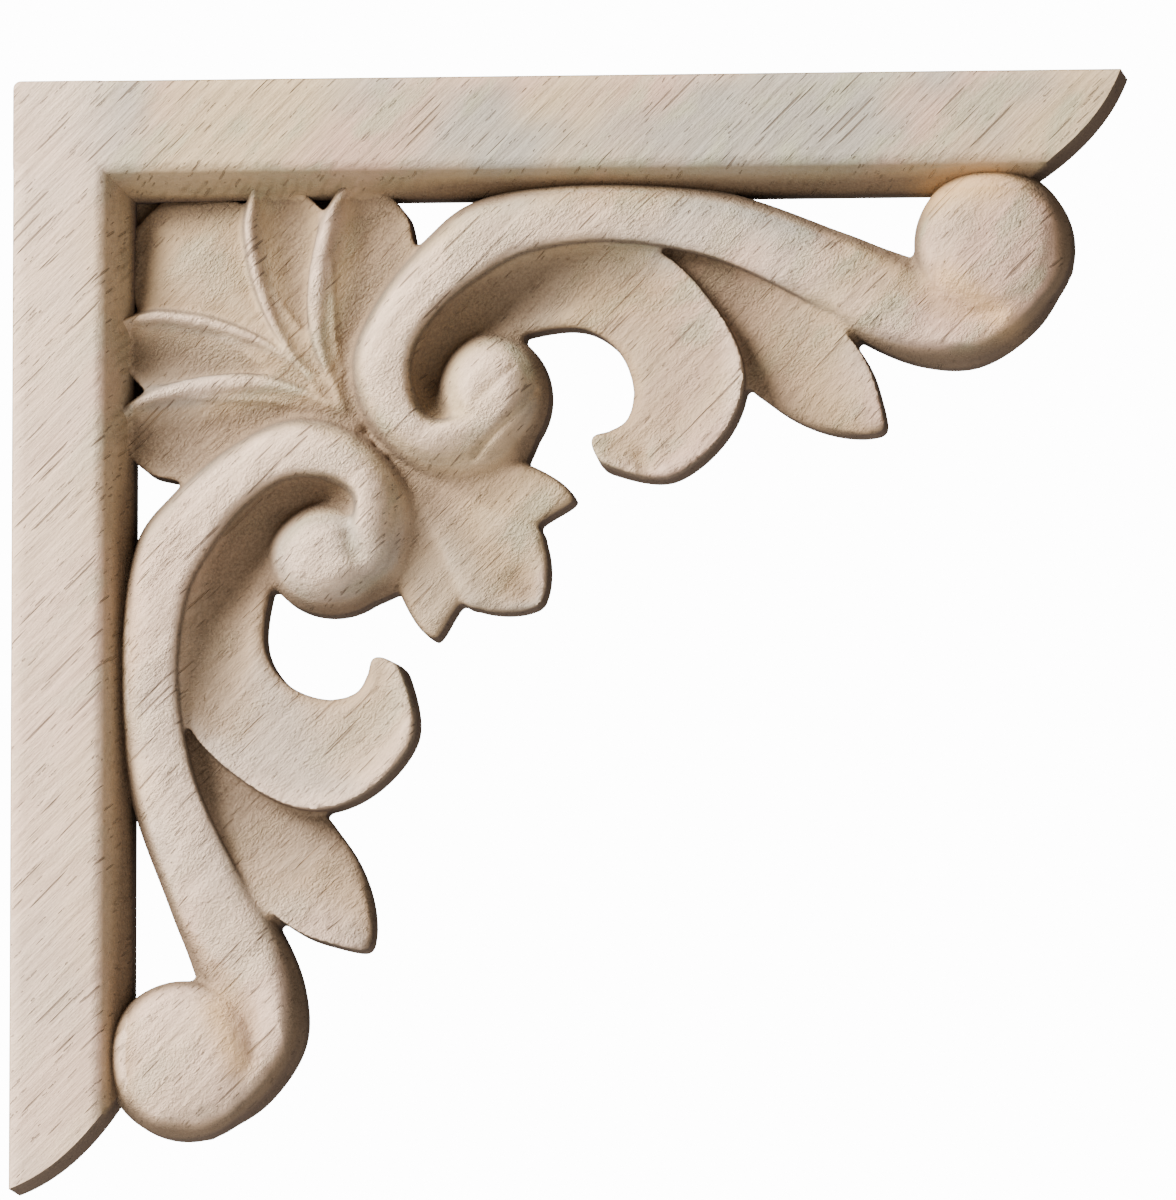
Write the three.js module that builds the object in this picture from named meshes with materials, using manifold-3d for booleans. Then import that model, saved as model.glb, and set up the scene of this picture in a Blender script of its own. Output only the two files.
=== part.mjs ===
import * as THREE from "three";
import { mergeVertices } from "three/addons/utils/BufferGeometryUtils.js";
import Module from "manifold-3d";

// Corner applique carved from one piece of pale wood, in millimetres.
// Two moulded rails form an L. Inside it lie a shell of five lobes, a bud on the diagonal, and two
// branches that mirror each other: a scroll with a rolled eye, a hooked leaf, a frond and a ball.
// It stands as it is fixed to an upright panel, with the outer corner up and to the left.
// The flat back is the plane y = 0, the carving faces -Y, and +Z is up. The origin is on the back,
// where the centre lines of the two rails cross.

const wasm = await Module();
wasm.setup();

// Driving dimensions
const legLength = 100; // each rail, from the outer corner to its tip
const thickness = 8; // from the flat back to the top of the rails
const railWidth = 10.5; // each rail, across its back
const slopeWidth = 2.45; // the slope along the inner edge of each rail, seen from the front
const slopeDepth = 4.4; // how far that slope goes down towards the back
const railRounding = 0.8; // how far the rounding above the slope reaches each way
const edgeEase = 0.3; // small flat that breaks the outer edge of each rail
const cornerRadius = 0.8; // outer corner of the L, seen from the front
const tipSweep = 10; // the curved end of a rail, measured along the rail
const tipGap = 4.7; // from the far side of the ball to the tip of the rail

// Each tip bends round a control point that stands back from the end by the first of these shares of
// the sweep, and in from the outer edge by the second of these shares of the rail's width.
const tipFullness = [0.22, 0.57];

// How finely the round parts are divided, and how near two corners are when they are the same one
const domeSides = 30;
const roundingSteps = 4;
const tipSteps = 10;
const weldDistance = 1e-4;

// The carved ornament keeps its proportions. Its outlines are in hundredths of the reach, across and
// down from the inside corner of the L, and its heights are shares of the thickness.
const reach = legLength - railWidth - tipGap;
const eye = { centre: [38.3, 21.2], radius: 6.1, stretch: 1.14 };
const ball = { centre: [91.6, 5.7], radius: 8.4, stretch: 1 };

// Columns of a form, from its outer edge to its inner edge
const columns = [0, 0.1, 0.25, 0.5, 0.75, 0.9, 1];

// Each form has pairs of points on its outer and inner edges, from its root to its tip, and rows of
// heights: the place of the row from root to tip, and then one height for each column.
const scroll = {
  edges: [
    [[43.8, 24], [40.2, 21.7]],
    [[40.5, 29.9], [39, 22.6]],
    [[34, 31.5], [36.7, 23.1]],
    [[28.6, 28.9], [32.4, 23.8]],
    [[24.4, 23.7], [30.1, 20.5]],
    [[23.2, 17.1], [30.2, 16.3]],
    [[26.2, 10.4], [33, 12.1]],
    [[31.3, 4.2], [37.4, 8.6]],
    [[37, 0.2], [42.7, 6]],
    [[48.3, -1.5], [51.3, 5.1]],
    [[62.6, -0.4], [61.9, 6.9]],
    [[75.1, 3.9], [72.1, 11.7]],
    [[80.5, 6], [77.1, 15.4]],
    [[85.8, 7.7], [83.5, 18.1]],
    [[90.6, 8.3], [90, 18.2]],
    [[94, 7.6], [96, 14.2]],
    [[96, 5.7], [99.8, 8.1]],
  ],
  relief: [
    [0, 0.4, 0.46, 0.56, 0.74, 0.86, 0.9, 0.92],
    [0.1, 0.4, 0.47, 0.58, 0.76, 0.88, 0.92, 0.92],
    [0.16, 0.4, 0.5, 0.64, 0.84, 0.92, 0.88, 0.78],
    [0.21, 0.42, 0.57, 0.75, 0.9, 0.93, 0.87, 0.7],
    [0.27, 0.45, 0.66, 0.83, 0.93, 0.94, 0.92, 0.84],
    [0.42, 0.45, 0.7, 0.87, 0.94, 0.94, 0.93, 0.87],
    [0.56, 0.5, 0.7, 0.84, 0.9, 0.89, 0.86, 0.8],
    [0.65, 0.5, 0.66, 0.77, 0.82, 0.8, 0.77, 0.72],
    [0.76, 0.45, 0.6, 0.69, 0.73, 0.73, 0.62, 0.42],
    [0.84, 0.5, 0.56, 0.62, 0.7, 0.78, 0.58, 0.24],
    [0.93, 0.5, 0.56, 0.62, 0.7, 0.8, 0.58, 0.22],
    [1, 0.5, 0.54, 0.6, 0.66, 0.7, 0.5, 0.24],
  ],
  steps: 64,
};

const hookedLeaf = {
  edges: [
    [[32.4, 24.5], [35.2, 24.5]],
    [[29.6, 17.9], [35.7, 19.8]],
    [[33.9, 9.8], [38.6, 16]],
    [[44.8, 4.3], [43.8, 14.3]],
    [[55.5, 5.8], [48.3, 14.3]],
    [[62.1, 12], [51.8, 16.7]],
    [[65.2, 19], [53.3, 20.5]],
    [[63.2, 25.5], [52.7, 23.7]],
    [[57.4, 30.2], [50.8, 25]],
    [[50.8, 29.3], [49.3, 25.4]],
    [[49.2, 27.5], [48.8, 26.1]],
  ],
  relief: [
    [0, 0.72, 0.72, 0.72, 0.72, 0.72, 0.72, 0.72],
    [0.04, 0.62, 0.6, 0.56, 0.54, 0.52, 0.52, 0.52],
    [0.1, 0.66, 0.6, 0.48, 0.38, 0.38, 0.4, 0.42],
    [0.2, 0.7, 0.64, 0.53, 0.42, 0.41, 0.45, 0.46],
    [0.3, 0.72, 0.68, 0.58, 0.48, 0.46, 0.5, 0.48],
    [0.42, 0.66, 0.62, 0.56, 0.52, 0.52, 0.53, 0.48],
    [0.55, 0.68, 0.64, 0.6, 0.56, 0.55, 0.53, 0.46],
    [0.68, 0.72, 0.68, 0.61, 0.55, 0.53, 0.52, 0.46],
    [0.8, 0.64, 0.68, 0.61, 0.54, 0.52, 0.52, 0.46],
    [0.9, 0.34, 0.54, 0.61, 0.56, 0.54, 0.55, 0.5],
    [1, 0.32, 0.44, 0.53, 0.55, 0.55, 0.53, 0.5],
  ],
  steps: 40,
};

const frond = {
  edges: [
    [[54.3, 3.7], [54.3, 7.9]],
    [[63.8, 6.2], [60.8, 13.8]],
    [[71.5, 10.5], [65, 19.8]],
    [[74.5, 13.2], [67.4, 21.9]],
    [[76.9, 16], [70, 23.7]],
    [[78.6, 18.8], [72.6, 24.9]],
    [[79.6, 21.9], [75.2, 25.6]],
    [[80.1, 24.2], [77.6, 25.8]],
    [[80, 25.2], [79.3, 25.6]],
  ],
  relief: [
    [0, 0.5, 0.5, 0.48, 0.44, 0.4, 0.38, 0.36],
    [0.3, 0.56, 0.55, 0.51, 0.45, 0.4, 0.36, 0.34],
    [0.6, 0.62, 0.59, 0.54, 0.47, 0.41, 0.38, 0.3],
    [0.85, 0.56, 0.56, 0.53, 0.48, 0.44, 0.4, 0.24],
    [1, 0.46, 0.47, 0.47, 0.45, 0.42, 0.38, 0.26],
  ],
  steps: 20,
};

const nearLobe = {
  edges: [
    [[12.5, -1.4], [17.1, -1.4]],
    [[11.8, 1.1], [19.2, 0.2]],
    [[11.4, 3.7], [20.8, 2.5]],
    [[12.4, 9], [21.4, 8.6]],
    [[14.8, 14.3], [21.7, 15.2]],
    [[19.2, 20.2], [22.9, 21.9]],
  ],
  relief: [
    [0, 0.5, 0.64, 0.58, 0.54, 0.54, 0.56, 0.54],
    [0.2, 0.5, 0.66, 0.55, 0.47, 0.49, 0.54, 0.56],
    [0.5, 0.46, 0.64, 0.5, 0.4, 0.44, 0.54, 0.6],
    [1, 0.54, 0.6, 0.56, 0.53, 0.53, 0.54, 0.54],
  ],
  steps: 14,
};

const farLobe = {
  edges: [
    [[22.1, -1.4], [26.4, -1.4]],
    [[20.7, 1], [28.3, 0.7]],
    [[19.8, 3.3], [29.6, 3]],
    [[18.7, 9], [30, 9]],
    [[19, 15], [26.9, 16.9]],
    [[21.8, 22.1], [26.4, 25.2]],
  ],
  relief: [
    [0, 0.52, 0.64, 0.6, 0.56, 0.56, 0.54, 0.46],
    [0.2, 0.56, 0.68, 0.57, 0.48, 0.49, 0.52, 0.5],
    [0.5, 0.6, 0.68, 0.54, 0.43, 0.46, 0.52, 0.56],
    [1, 0.54, 0.62, 0.58, 0.54, 0.55, 0.6, 0.62],
  ],
  steps: 14,
};

const petal = {
  edges: [
    [[33.5, 28.1], [32.9, 33.6]],
    [[39.5, 27.5], [38.7, 36.1]],
    [[42.4, 28.6], [41.2, 35.7]],
    [[44.4, 29.6], [43.1, 34.9]],
    [[46, 30.7], [44.8, 33.9]],
    [[46.9, 31.8], [46.2, 33.1]],
    [[47.1, 32.3], [47, 32.5]],
  ],
  relief: [
    [0, 0.48, 0.52, 0.52, 0.5, 0.48, 0.46, 0.44],
    [0.6, 0.46, 0.52, 0.54, 0.54, 0.52, 0.5, 0.46],
    [1, 0.44, 0.46, 0.48, 0.48, 0.48, 0.46, 0.44],
  ],
  steps: 12,
};

// These three lie on the diagonal, so the inner edge of each is its outer edge mirrored.
const middleLobe = {
  edges: onBothSides([[3.1, -0.5], [10.5, -0.1], [12.9, 2.4], [15.4, 10.5], [26.2, 22.6]]),
  relief: [
    [0, 0.3, 0.32, 0.34, 0.36, 0.34, 0.32, 0.3],
    [0.35, 0.46, 0.46, 0.48, 0.52, 0.48, 0.46, 0.46],
    [0.7, 0.52, 0.48, 0.47, 0.5, 0.47, 0.48, 0.52],
    [1, 0.54, 0.54, 0.54, 0.56, 0.54, 0.54, 0.54],
  ],
  steps: 14,
};

// The low floor that closes the pockets between the lobes and the rails
const shellFloor = {
  edges: onBothSides([[0, -1.4], [20, -1.4], [26, 1], [24, 12], [24, 20]]),
  relief: levelRelief(0.2),
  steps: 8,
};

const bud = {
  edges: onBothSides([
    [25, 23.2], [30, 28.3], [37.4, 32.4], [42.9, 35],
    [43.9, 36.9], [44.3, 39.2], [44.2, 41.4], [43.7, 43.1],
  ]),
  relief: [
    [0, 0.48, 0.48, 0.48, 0.48, 0.48, 0.48, 0.48],
    [0.14, 0.5, 0.5, 0.5, 0.5, 0.5, 0.5, 0.5],
    [0.4, 0.48, 0.54, 0.52, 0.47, 0.52, 0.54, 0.48],
    [0.74, 0.44, 0.5, 0.46, 0.4, 0.46, 0.5, 0.44],
    [1, 0.4, 0.46, 0.5, 0.5, 0.5, 0.46, 0.4],
  ],
  steps: 16,
};

// Domes: distance from the middle as a share of the radius, and height as a share of the thickness
eye.profile = [[0, 0.93], [0.3, 0.93], [0.45, 0.89], [0.65, 0.78], [0.85, 0.62], [1, 0.42]];
ball.profile = [[0, 0.98], [0.4, 0.97], [0.65, 0.93], [0.82, 0.85], [0.94, 0.7], [1, 0.52]];

function onBothSides(points) {
  return points.map(([across, down]) => [[across, down], [down, across]]);
}

function levelRelief(height) {
  return [0, 1].map((place) => [place, ...columns.map(() => height)]);
}

// A place on the carving, from the outer corner of the L: across, down, and proud of the back
function upright(across, down, proud) {
  return [across - railWidth / 2, -proud, railWidth / 2 - down];
}

const swapAcrossAndDown = new THREE.Matrix4().set(
  0, 0, -1, 0,
  0, 1, 0, 0,
  -1, 0, 0, 0,
  0, 0, 0, 1,
);

function onOrnament([across, down]) {
  const unit = reach / 100;
  return new THREE.Vector3(railWidth + across * unit, railWidth + down * unit, 0);
}

// A smooth curve through rows of [place, value, value, ...], read at one place
function smoothRow(rows, place) {
  const last = rows.length - 1;
  let i = 0;
  while (i < last - 1 && place > rows[i + 1][0]) i += 1;
  const [before, start, end, after] = [i - 1, i, i + 1, i + 2].map(
    (n) => rows[Math.min(Math.max(n, 0), last)],
  );
  const span = end[0] - start[0];
  const x = (place - start[0]) / span;
  return start.slice(1).map((value, k) => {
    const slopeIn = ((end[k + 1] - before[k + 1]) / (end[0] - before[0])) * span;
    const slopeOut = ((after[k + 1] - value) / (after[0] - start[0])) * span;
    const rise = end[k + 1] - value;
    const square = 3 * rise - 2 * slopeIn - slopeOut;
    const cube = slopeIn + slopeOut - 2 * rise;
    return value + x * (slopeIn + x * (square + x * cube));
  });
}

// One carved form: its face runs over the columns and rows, its walls go straight down to the back
function carve({ edges, relief, steps }) {
  const [outer, inner] = [0, 1].map((side) => {
    const points = edges.map((pair) => onOrnament(pair[side]));
    return new THREE.CatmullRomCurve3(points, false, "catmullrom");
  });
  const face = [];
  for (let row = 0; row <= steps; row += 1) {
    const place = row / steps;
    const from = outer.getPoint(place);
    const to = inner.getPoint(place);
    const heights = smoothRow(relief, place);
    columns.forEach((share, column) => {
      const at = from.clone().lerp(to, share);
      face.push([at.x, at.y, heights[column] * thickness]);
    });
  }
  const wide = columns.length;
  const index = [];
  for (let row = 0; row < steps; row += 1) {
    for (let column = 0; column < wide - 1; column += 1) {
      const a = row * wide + column;
      const b = a + wide;
      index.push(a, b, a + 1, b, b + 1, a + 1);
    }
  }

  // The rim goes once round the face, and a copy of it lies on the back
  const rim = [];
  for (let column = 0; column < wide - 1; column += 1) rim.push(column);
  for (let row = 0; row < steps; row += 1) rim.push(row * wide + wide - 1);
  for (let column = wide - 1; column > 0; column -= 1) rim.push(steps * wide + column);
  for (let row = steps; row > 0; row -= 1) rim.push(row * wide);
  const back = face.length;
  const outline = rim.map((n) => new THREE.Vector2(face[n][0], face[n][1]));
  const points = face.concat(outline.map(({ x, y }) => [x, y, 0]));
  rim.forEach((top, n) => {
    const next = (n + 1) % rim.length;
    index.push(top, rim[next], back + n, rim[next], back + next, back + n);
  });
  const turnsLeft = THREE.ShapeUtils.area(outline) > 0;
  THREE.ShapeUtils.triangulateShape(outline, []).forEach(([a, b, c]) => {
    index.push(back + a, back + (turnsLeft ? b : c), back + (turnsLeft ? c : b));
  });
  const geometry = new THREE.BufferGeometry();
  const positions = points.flatMap((point) => upright(...point));
  geometry.setAttribute("position", new THREE.Float32BufferAttribute(positions, 3));
  geometry.setIndex(index);
  return geometry;
}

// A dome on straight sides, as a turned profile laid on the panel, stretched away from the rail
function dome({ centre, radius, stretch, profile }) {
  const width = (radius * reach) / 100;
  const points = profile.map(([share, height]) => new THREE.Vector2(share * width, height * thickness));
  points.push(new THREE.Vector2(width, 0), new THREE.Vector2(0, 0));
  const middle = onOrnament(centre);
  const [x, , z] = upright(middle.x, middle.y, 0);
  return new THREE.LatheGeometry(points, domeSides).scale(1, -1, stretch).translate(x, 0, z);
}

// A rail along X: the section of the moulding, swept from the outer corner to the tip
function rail() {
  const section = new THREE.Shape();
  section.moveTo(0, 0);
  section.lineTo(0, thickness - edgeEase);
  section.lineTo(edgeEase, thickness);
  section.lineTo(railWidth - slopeWidth - railRounding, thickness);
  const share = railRounding / Math.hypot(slopeWidth, slopeDepth);
  section.quadraticCurveTo(
    railWidth - slopeWidth, thickness,
    railWidth - slopeWidth + share * slopeWidth, thickness - share * slopeDepth,
  );
  section.lineTo(railWidth, thickness - slopeDepth);
  section.lineTo(railWidth, 0);
  const sweep = { depth: legLength, bevelEnabled: false, curveSegments: roundingSteps };
  const swept = new THREE.ExtrudeGeometry(section, sweep);
  const place = new THREE.Matrix4().makeBasis(
    new THREE.Vector3(0, 0, -1),
    new THREE.Vector3(0, -1, 0),
    new THREE.Vector3(1, 0, 0),
  );
  return swept.applyMatrix4(place).translate(...upright(0, 0, 0));
}

// The outline of the L with its curved tips, as a plate of the full thickness
function plate() {
  const tip = [legLength - tipFullness[0] * tipSweep, tipFullness[1] * railWidth];
  const outline = new THREE.Shape();
  outline.moveTo(cornerRadius, 0);
  outline.lineTo(legLength, 0);
  outline.quadraticCurveTo(...tip, legLength - tipSweep, railWidth);
  outline.lineTo(railWidth, railWidth);
  outline.lineTo(railWidth, legLength - tipSweep);
  outline.quadraticCurveTo(tip[1], tip[0], 0, legLength);
  outline.lineTo(0, cornerRadius);
  outline.quadraticCurveTo(0, 0, cornerRadius, 0);
  const rise = { depth: thickness, bevelEnabled: false, curveSegments: tipSteps };
  const raised = new THREE.ExtrudeGeometry(outline, rise);
  const place = new THREE.Matrix4().makeBasis(
    new THREE.Vector3(1, 0, 0),
    new THREE.Vector3(0, 0, -1),
    new THREE.Vector3(0, -1, 0),
  );
  return raised.applyMatrix4(place).translate(...upright(0, 0, 0));
}

function volumeOf(position, index) {
  const [a, b, c] = [new THREE.Vector3(), new THREE.Vector3(), new THREE.Vector3()];
  let six = 0;
  for (let i = 0; i < index.length; i += 3) {
    a.fromBufferAttribute(position, index[i]);
    b.fromBufferAttribute(position, index[i + 1]);
    c.fromBufferAttribute(position, index[i + 2]);
    six += a.dot(b.cross(c));
  }
  return six / 6;
}

// A closed geometry as a solid that faces outwards, whichever way it was placed or mirrored
function solid(geometry) {
  const bare = new THREE.BufferGeometry();
  bare.setAttribute("position", geometry.getAttribute("position"));
  bare.setIndex(geometry.getIndex());
  const merged = mergeVertices(bare, weldDistance);
  const position = merged.getAttribute("position");
  const corners = [];
  for (let i = 0; i < merged.index.count; i += 3) {
    const [a, b, c] = [0, 1, 2].map((n) => merged.index.getX(i + n));
    if (a !== b && b !== c && c !== a) corners.push(a, b, c);
  }
  if (volumeOf(position, corners) < 0) corners.reverse();
  return new wasm.Manifold(
    new wasm.Mesh({
      numProp: 3,
      vertProperties: new Float32Array(position.array),
      triVerts: new Uint32Array(corners),
    }),
  );
}

function join(geometries) {
  return geometries.map(solid).reduce((whole, piece) => whole.add(piece));
}

function geometryOf(manifold) {
  const mesh = manifold.getMesh();
  const geometry = new THREE.BufferGeometry();
  geometry.setAttribute("position", new THREE.Float32BufferAttribute(mesh.vertProperties, 3));
  geometry.setIndex(new THREE.Uint32BufferAttribute(mesh.triVerts, 1));
  const flat = geometry.toNonIndexed();
  flat.computeVertexNormals();
  return flat;
}

function withMirrorImage(geometry) {
  return [geometry, geometry.clone().applyMatrix4(swapAcrossAndDown)];
}

const branch = [scroll, hookedLeaf, frond, nearLobe, farLobe, petal].map(carve);
branch.push(dome(eye), dome(ball));

const rails = join(withMirrorImage(rail())).intersect(solid(plate()));
const onDiagonal = [middleLobe, shellFloor, bud].map(carve);
const ornament = join([...branch.flatMap(withMirrorImage), ...onDiagonal]);

const wood = new THREE.MeshStandardMaterial({ color: 0xd8c8b4, roughness: 0.85, metalness: 0 });
const applique = new THREE.Mesh(geometryOf(rails.add(ornament)), wood);
applique.name = "corner_applique";

const part = new THREE.Group();
part.add(applique);

export default part;
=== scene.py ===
import math

import bmesh
import bpy
import numpy as np
from bpy.props import FloatProperty, FloatVectorProperty, PointerProperty
from mathutils import Matrix, Vector, noise


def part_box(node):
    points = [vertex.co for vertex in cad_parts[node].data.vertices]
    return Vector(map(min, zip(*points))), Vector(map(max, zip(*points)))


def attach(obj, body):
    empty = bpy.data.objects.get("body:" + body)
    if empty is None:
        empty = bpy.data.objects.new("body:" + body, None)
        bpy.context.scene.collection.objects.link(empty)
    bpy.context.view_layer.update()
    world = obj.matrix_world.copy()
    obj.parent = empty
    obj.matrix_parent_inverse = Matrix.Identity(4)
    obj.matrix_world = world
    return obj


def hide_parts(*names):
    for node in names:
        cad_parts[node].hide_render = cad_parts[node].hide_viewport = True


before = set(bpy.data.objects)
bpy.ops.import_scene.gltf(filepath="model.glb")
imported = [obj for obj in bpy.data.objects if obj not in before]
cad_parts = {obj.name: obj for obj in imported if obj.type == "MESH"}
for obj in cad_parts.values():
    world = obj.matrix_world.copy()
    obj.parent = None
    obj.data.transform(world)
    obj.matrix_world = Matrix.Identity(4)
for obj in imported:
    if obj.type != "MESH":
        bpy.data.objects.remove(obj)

bl_info = {
    "name": "Carved corner applique",
    "version": (1, 0, 0),
    "blender": (4, 5, 0),
    "location": "View3D > Sidebar > Applique",
    "description": "A wooden corner onlay with carved scrolls, leaves and a shell",
    "category": "Add Mesh",
}

NODE = "corner_applique"
LOW, HIGH = (Vector(corner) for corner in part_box(NODE))
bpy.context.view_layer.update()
MM = 0.001

# The carved ornament has its outlines in hundredths of the reach, across and down from the inside
# corner of the L, and its heights as shares of the thickness.
EYE = {
    "centre": (38.3, 21.2), "radius": 6.1, "stretch": 1.14,
    "profile": ((0, 0.93), (0.3, 0.93), (0.45, 0.89), (0.65, 0.78), (0.85, 0.62), (1, 0.42)),
}
BALL = {
    "centre": (91.6, 5.7), "radius": 8.4, "stretch": 1,
    "profile": ((0, 0.98), (0.4, 0.97), (0.65, 0.93), (0.82, 0.85), (0.94, 0.7), (1, 0.52)),
}

# Columns of a form, from its outer edge to its inner edge
COLUMNS = (0, 0.1, 0.25, 0.5, 0.75, 0.9, 1)

# Each form has pairs of points on its outer and inner edges, from its root to its tip, and rows of
# heights: the place of the row from root to tip, and then one height for each column.
SCROLL = {
    "edges": (
        ((43.8, 24), (40.2, 21.7)), ((40.5, 29.9), (39, 22.6)), ((34, 31.5), (36.7, 23.1)),
        ((28.6, 28.9), (32.4, 23.8)), ((24.4, 23.7), (30.1, 20.5)), ((23.2, 17.1), (30.2, 16.3)),
        ((26.2, 10.4), (33, 12.1)), ((31.3, 4.2), (37.4, 8.6)), ((37, 0.2), (42.7, 6)),
        ((48.3, -1.5), (51.3, 5.1)), ((62.6, -0.4), (61.9, 6.9)), ((75.1, 3.9), (72.1, 11.7)),
        ((80.5, 6), (77.1, 15.4)), ((85.8, 7.7), (83.5, 18.1)), ((90.6, 8.3), (90, 18.2)),
        ((94, 7.6), (96, 14.2)), ((96, 5.7), (99.8, 8.1)),
    ),
    "relief": (
        (0, 0.4, 0.46, 0.56, 0.74, 0.86, 0.9, 0.92),
        (0.1, 0.4, 0.47, 0.58, 0.76, 0.88, 0.92, 0.92),
        (0.16, 0.4, 0.5, 0.64, 0.84, 0.92, 0.88, 0.78),
        (0.21, 0.42, 0.57, 0.75, 0.9, 0.93, 0.87, 0.7),
        (0.27, 0.45, 0.66, 0.83, 0.93, 0.94, 0.92, 0.84),
        (0.42, 0.45, 0.7, 0.87, 0.94, 0.94, 0.93, 0.87),
        (0.56, 0.5, 0.7, 0.84, 0.9, 0.89, 0.86, 0.8),
        (0.65, 0.5, 0.66, 0.77, 0.82, 0.8, 0.77, 0.72),
        (0.76, 0.45, 0.6, 0.69, 0.73, 0.73, 0.62, 0.42),
        (0.84, 0.5, 0.56, 0.62, 0.7, 0.78, 0.58, 0.24),
        (0.93, 0.5, 0.56, 0.62, 0.7, 0.8, 0.58, 0.22),
        (1, 0.5, 0.54, 0.6, 0.66, 0.7, 0.5, 0.24),
    ),
    "steps": 240,
}
HOOKED_LEAF = {
    "edges": (
        ((32.4, 24.5), (35.2, 24.5)), ((29.6, 17.9), (35.7, 19.8)), ((33.9, 9.8), (38.6, 16)),
        ((44.8, 4.3), (43.8, 14.3)), ((55.5, 5.8), (48.3, 14.3)), ((62.1, 12), (51.8, 16.7)),
        ((65.2, 19), (53.3, 20.5)), ((63.2, 25.5), (52.7, 23.7)), ((57.4, 30.2), (50.8, 25)),
        ((50.8, 29.3), (49.3, 25.4)), ((49.2, 27.5), (48.8, 26.1)),
    ),
    "relief": (
        (0, 0.72, 0.72, 0.72, 0.72, 0.72, 0.72, 0.72),
        (0.04, 0.62, 0.6, 0.56, 0.54, 0.52, 0.52, 0.52),
        (0.1, 0.66, 0.6, 0.48, 0.38, 0.38, 0.4, 0.42),
        (0.2, 0.7, 0.64, 0.53, 0.42, 0.41, 0.45, 0.46),
        (0.3, 0.72, 0.68, 0.58, 0.48, 0.46, 0.5, 0.48),
        (0.42, 0.66, 0.62, 0.56, 0.52, 0.52, 0.53, 0.48),
        (0.55, 0.68, 0.64, 0.6, 0.56, 0.55, 0.53, 0.46),
        (0.68, 0.72, 0.68, 0.61, 0.55, 0.53, 0.52, 0.46),
        (0.8, 0.64, 0.68, 0.61, 0.54, 0.52, 0.52, 0.46),
        (0.9, 0.34, 0.54, 0.61, 0.56, 0.54, 0.55, 0.5),
        (1, 0.32, 0.44, 0.53, 0.55, 0.55, 0.53, 0.5),
    ),
    "steps": 160,
}
FROND = {
    "edges": (
        ((54.3, 3.7), (54.3, 7.9)), ((63.8, 6.2), (60.8, 13.8)), ((71.5, 10.5), (65, 19.8)),
        ((74.5, 13.2), (67.4, 21.9)), ((76.9, 16), (70, 23.7)), ((78.6, 18.8), (72.6, 24.9)),
        ((79.6, 21.9), (75.2, 25.6)), ((80.1, 24.2), (77.6, 25.8)), ((80, 25.2), (79.3, 25.6)),
    ),
    "relief": (
        (0, 0.5, 0.5, 0.48, 0.44, 0.4, 0.38, 0.36),
        (0.3, 0.56, 0.55, 0.51, 0.45, 0.4, 0.36, 0.34),
        (0.6, 0.62, 0.59, 0.54, 0.47, 0.41, 0.38, 0.3),
        (0.85, 0.56, 0.56, 0.53, 0.48, 0.44, 0.4, 0.24),
        (1, 0.46, 0.47, 0.47, 0.45, 0.42, 0.38, 0.26),
    ),
    "steps": 90,
}
NEAR_LOBE = {
    "edges": (
        ((12.5, -1.4), (17.1, -1.4)), ((11.8, 1.1), (19.2, 0.2)), ((11.4, 3.7), (20.8, 2.5)),
        ((12.4, 9), (21.4, 8.6)), ((14.8, 14.3), (21.7, 15.2)), ((19.2, 20.2), (22.9, 21.9)),
    ),
    "relief": (
        (0, 0.5, 0.64, 0.58, 0.54, 0.54, 0.56, 0.54),
        (0.2, 0.5, 0.66, 0.55, 0.47, 0.49, 0.54, 0.56),
        (0.5, 0.46, 0.64, 0.5, 0.4, 0.44, 0.54, 0.6),
        (1, 0.54, 0.6, 0.56, 0.53, 0.53, 0.54, 0.54),
    ),
    "steps": 60,
}
FAR_LOBE = {
    "edges": (
        ((22.1, -1.4), (26.4, -1.4)), ((20.7, 1), (28.3, 0.7)), ((19.8, 3.3), (29.6, 3)),
        ((18.7, 9), (30, 9)), ((19, 15), (26.9, 16.9)), ((21.8, 22.1), (26.4, 25.2)),
    ),
    "relief": (
        (0, 0.52, 0.64, 0.6, 0.56, 0.56, 0.54, 0.46),
        (0.2, 0.56, 0.68, 0.57, 0.48, 0.49, 0.52, 0.5),
        (0.5, 0.6, 0.68, 0.54, 0.43, 0.46, 0.52, 0.56),
        (1, 0.54, 0.62, 0.58, 0.54, 0.55, 0.6, 0.62),
    ),
    "steps": 60,
}
PETAL = {
    "edges": (
        ((33.5, 28.1), (32.9, 33.6)), ((39.5, 27.5), (38.7, 36.1)), ((42.4, 28.6), (41.2, 35.7)),
        ((44.4, 29.6), (43.1, 34.9)), ((46, 30.7), (44.8, 33.9)), ((46.9, 31.8), (46.2, 33.1)),
        ((47.1, 32.3), (47, 32.5)),
    ),
    "relief": (
        (0, 0.48, 0.52, 0.52, 0.5, 0.48, 0.46, 0.44),
        (0.6, 0.46, 0.52, 0.54, 0.54, 0.52, 0.5, 0.46),
        (1, 0.44, 0.46, 0.48, 0.48, 0.48, 0.46, 0.44),
    ),
    "steps": 48,
}


def on_both_sides(points):
    """Pairs of points for a form on the diagonal, whose inner edge is its outer edge mirrored."""
    return tuple(((across, down), (down, across)) for across, down in points)


def level_relief(height):
    """Two rows of one height, for a form with a flat top."""
    return tuple((place, *(height for _ in COLUMNS)) for place in (0, 1))


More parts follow.
